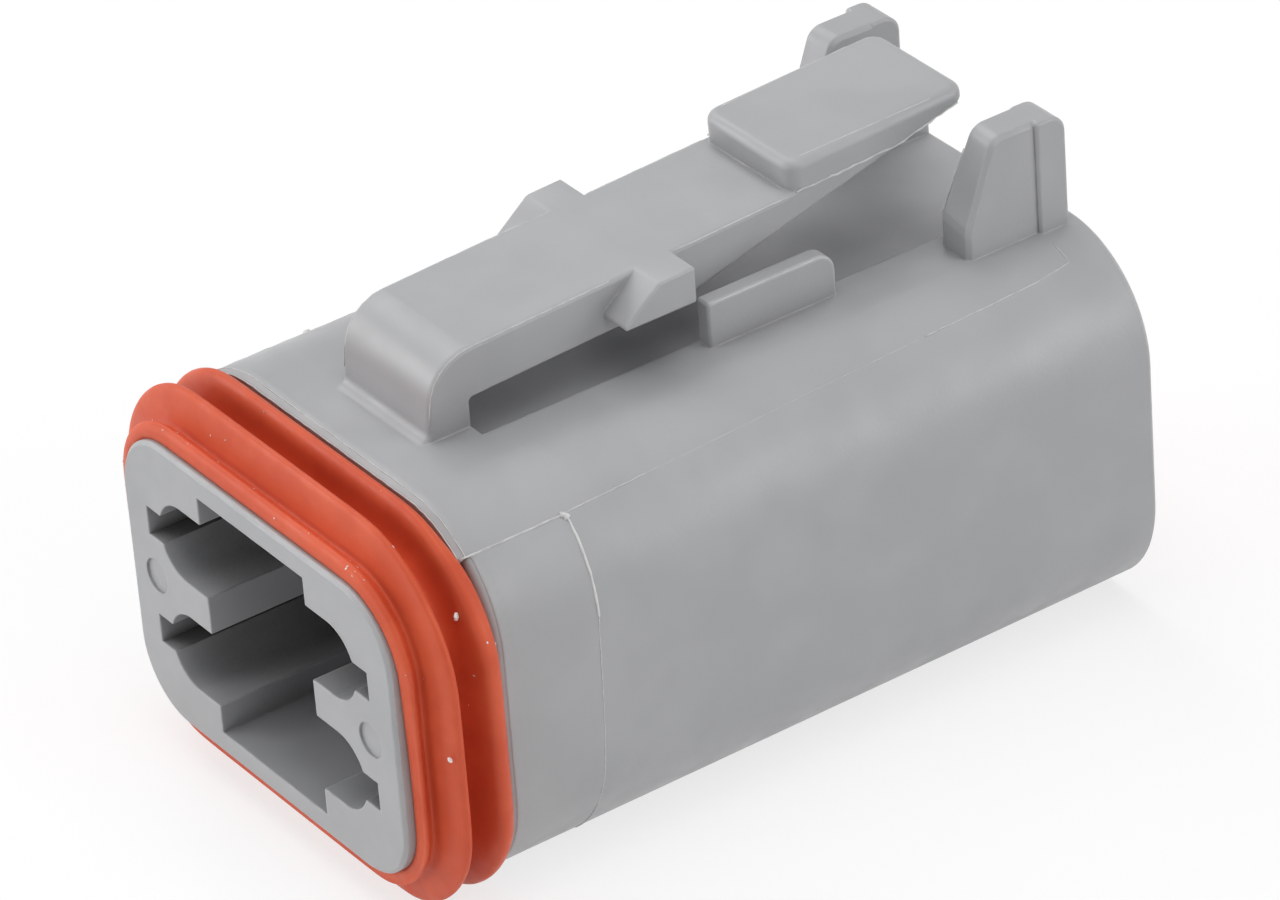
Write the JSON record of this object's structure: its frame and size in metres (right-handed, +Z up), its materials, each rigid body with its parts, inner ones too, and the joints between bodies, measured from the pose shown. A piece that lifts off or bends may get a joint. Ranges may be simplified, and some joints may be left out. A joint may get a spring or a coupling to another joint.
{
  "type": "sealed cable connector plug",
  "caption": "Rectangular sealed plug half of an inline cable connector: grey body, ribbed soft seal round its nose, thumb latch on top and a soft wire seal behind.",
  "frame": {"origin": "under the middle of the part, on the plane of the body's flat underside", "axes": "+Z up towards the latch, -Y out of the mating nose, +Y out of the wire seal"},
  "size_m": [0.0238, 0.038, 0.0238],
  "materials": {
    "housing": "fine satin moulding",
    "seal": "glossy silicone"
  },
  "bodies": {
    "shell": {"housing": "housing", "interface_seal": "seal", "wire_seal": "seal"},
    "latch": {"latch_arm": "housing"}
  },
  "joints": [
    {"name": "latch_press", "type": "hinge", "parent": "shell", "child": "latch", "pos_m": [0, -0.00942, 0.01914], "axis": [-1, 0, 0], "range_deg": [0, 8], "stiffness_Nm_per_rad": 1.5}
  ]
}
